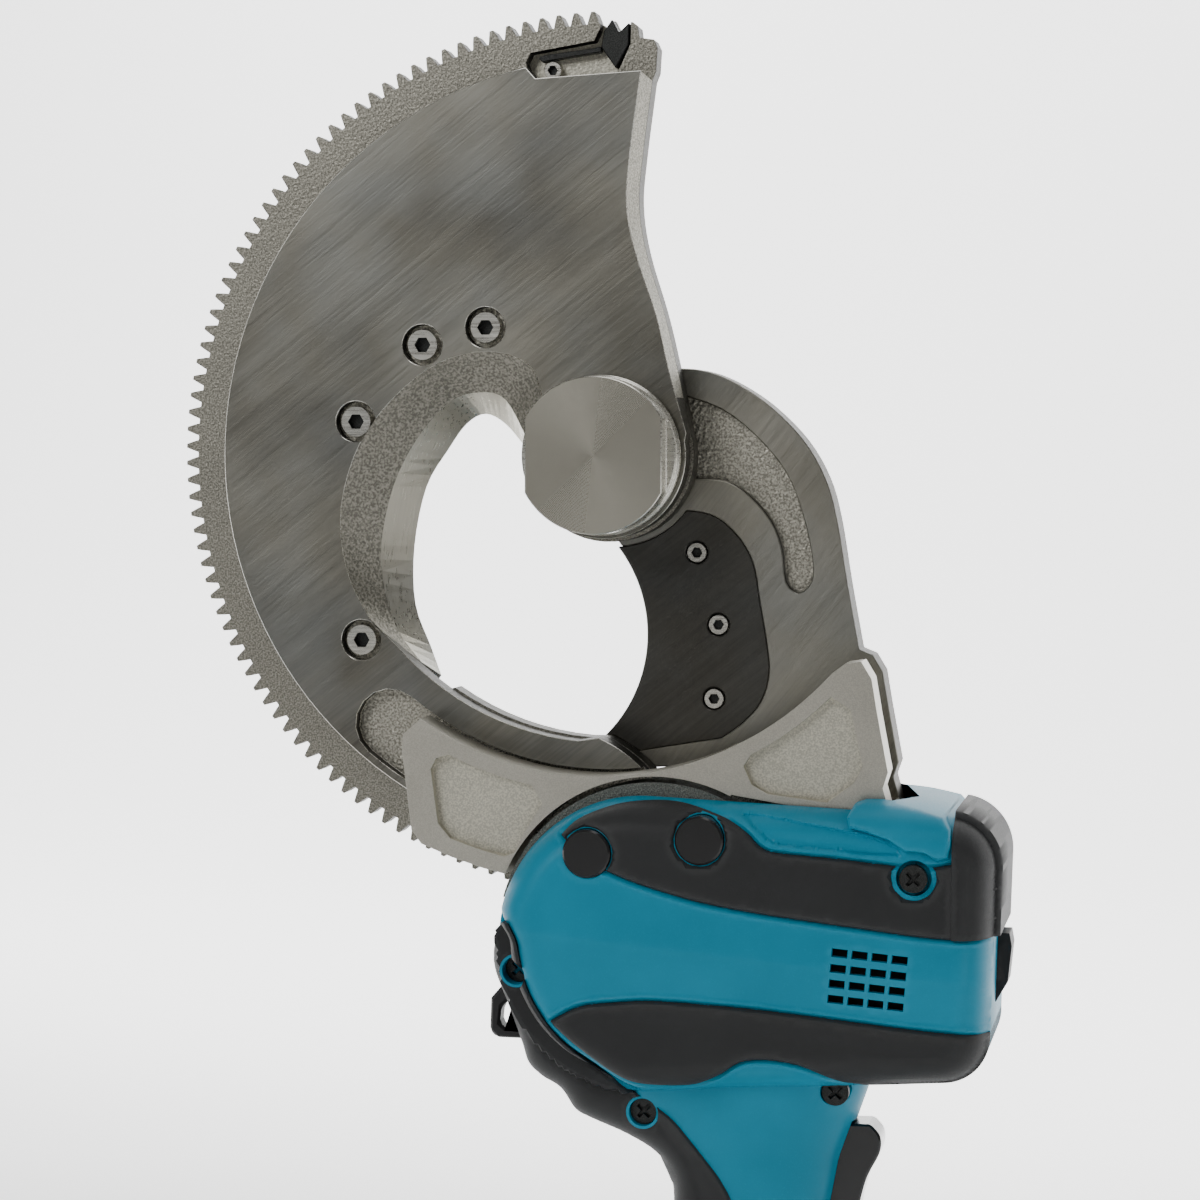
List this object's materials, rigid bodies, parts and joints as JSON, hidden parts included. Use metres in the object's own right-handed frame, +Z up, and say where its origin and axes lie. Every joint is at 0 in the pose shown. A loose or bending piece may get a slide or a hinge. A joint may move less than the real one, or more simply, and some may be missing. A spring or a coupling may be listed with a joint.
{
  "type": "cordless cable cutter",
  "caption": "Battery-powered cable cutter: toothed sector blade on a large pivot bolt, fixed jaw, pinion drive, pistol grip and slide-on battery.",
  "frame": {"origin": "centre of the battery's bottom face, on which the tool stands", "axes": "+Z up, -Y towards the side with the screw heads, +X from the pivot towards the trigger side"},
  "size_m": [0.23, 0.075, 0.4799],
  "materials": {
    "forged_steel": "brushed, nickel plated",
    "blade_steel": "ground",
    "dark_steel": "ground, dark",
    "cast_alloy": "satin cast",
    "screw_steel": "bright",
    "black_steel": "black oxide",
    "bronze": "turned",
    "bearing_steel": "polished",
    "copper_wound": "wound field",
    "housing_plastic": "moulded teal",
    "cushion_rubber": "soft dark grey",
    "black_plastic": "moulded black",
    "gloss_black": "gloss black",
    "red_plastic": "moulded red",
    "board_green": "lacquered board",
    "cell_wrap": "shrink wrap"
  },
  "bodies": {
    "housing": {"pivot_bolt": "screw_steel", "pivot_nut": "screw_steel", "thrust_washers": "screw_steel", "jaw_frame": "forged_steel", "fixed_cutter": "dark_steel", "fixed_cutter_screws": "screw_steel", "guide_bracket": "cast_alloy", "foot_spacer": "cast_alloy", "foot_bolts": "black_steel", "gear_case_front": "cast_alloy", "gear_case_middle": "cast_alloy", "gear_case_rear": "cast_alloy", "case_bolts": "black_steel", "shaft_bearings": "bearing_steel", "bevel_bearing": "bearing_steel", "ring_gear": "screw_steel", "stator": "copper_wound", "motor_bearings": "bearing_steel", "housing_front": "housing_plastic", "housing_rear": "housing_plastic", "upper_cushion": "cushion_rubber", "lower_cushion": "cushion_rubber", "palm_cushion": "cushion_rubber", "end_cap": "cushion_rubber", "top_cover": "housing_plastic", "housing_screws": "black_steel", "cover_plugs": "gloss_black", "lanyard_loop": "black_plastic", "switch_body": "black_plastic", "control_board": "board_green", "terminal_block": "black_plastic"},
    "blade": {"moving_blade": "forged_steel", "blade_rim": "forged_steel", "moving_cutter": "blade_steel", "cutter_screws": "screw_steel", "tooth_block": "black_steel", "tooth_spring": "black_steel", "spring_screw": "screw_steel", "pivot_bush": "bronze"},
    "cross_drive": {"drive_pinion": "screw_steel", "cross_shaft": "screw_steel", "bevel_gear": "screw_steel"},
    "carrier": {"bevel_pinion": "screw_steel", "planet_carrier": "screw_steel"},
    "planet_a": {"planet_1": "screw_steel"},
    "planet_b": {"planet_2": "screw_steel"},
    "planet_c": {"planet_3": "screw_steel"},
    "rotor": {"sun_gear": "screw_steel", "motor_shaft": "screw_steel", "rotor_core": "black_steel", "motor_fan": "black_plastic"},
    "trigger": {"trigger": "gloss_black", "switch_plunger": "black_plastic"},
    "reverse_lever": {"reverse_lever": "black_plastic"},
    "battery": {"battery_upper_case": "black_plastic", "battery_lower_case": "black_plastic", "battery_cells": "cell_wrap", "battery_contacts": "bronze", "battery_screws": "screw_steel"},
    "battery_latch": {"battery_latch": "red_plastic"}
  },
  "joints": [
    {"name": "blade_swing", "type": "hinge", "parent": "housing", "child": "blade", "pos_m": [-0.03, 0, 0.36], "axis": [0, -1, 0], "range_deg": [-100, 125]},
    {"name": "cross_shaft_spin", "type": "hinge", "parent": "housing", "child": "cross_drive", "pos_m": [-0.01636, 0, 0.23022], "axis": [0, -1, 0], "range_deg": [-1235.38, 988.5]},
    {"name": "carrier_spin", "type": "hinge", "parent": "housing", "child": "carrier", "pos_m": [-0.01636, 0, 0.23022], "axis": [0.9957, 0, -0.0924], "range_deg": [-2634.33, 3292.67]},
    {"name": "rotor_spin", "type": "hinge", "parent": "housing", "child": "rotor", "pos_m": [-0.01636, 0, 0.23022], "axis": [0.9957, 0, -0.0924], "range_deg": [-10534.33, 13167.67]},
    {"name": "planet_a_spin", "type": "hinge", "parent": "carrier", "child": "planet_a", "pos_m": [0.02734, 0, 0.21411], "axis": [0.9957, 0, -0.0924], "range_deg": [-9876, 7901]},
    {"name": "planet_b_spin", "type": "hinge", "parent": "carrier", "child": "planet_b", "pos_m": [0.029, 0.01039, 0.23203], "axis": [0.9957, 0, -0.0924], "range_deg": [-9876, 7901]},
    {"name": "planet_c_spin", "type": "hinge", "parent": "carrier", "child": "planet_c", "pos_m": [0.029, -0.01039, 0.23203], "axis": [0.9957, 0, -0.0924], "range_deg": [-9876, 7901]},
    {"name": "trigger_pull", "type": "slide", "parent": "housing", "child": "trigger", "axis": [-1, 0, 0], "range_m": [0, 0.006], "stiffness_N_per_m": 500, "springref_m": -0.004},
    {"name": "reverse_lever_turn", "type": "hinge", "parent": "housing", "child": "reverse_lever", "pos_m": [0.0734, 0, 0.2246], "axis": [0, -1, 0], "range_deg": [-8, 8]},
    {"name": "battery_slide", "type": "slide", "parent": "housing", "child": "battery", "axis": [1, 0, 0], "range_m": [0, 0.11]},
    {"name": "battery_latch_press", "type": "slide", "parent": "battery", "child": "battery_latch", "axis": [0, 0, -1], "range_m": [0, 0.004], "stiffness_N_per_m": 600, "springref_m": -0.003}
  ],
  "couplings": [
    {"joint": "cross_shaft_spin", "follows": "blade_swing", "ratio": -9.875},
    {"joint": "carrier_spin", "follows": "blade_swing", "ratio": 26.333},
    {"joint": "rotor_spin", "follows": "blade_swing", "ratio": 105.33},
    {"joint": "planet_a_spin", "follows": "blade_swing", "ratio": -79},
    {"joint": "planet_b_spin", "follows": "blade_swing", "ratio": -79},
    {"joint": "planet_c_spin", "follows": "blade_swing", "ratio": -79}
  ]
}
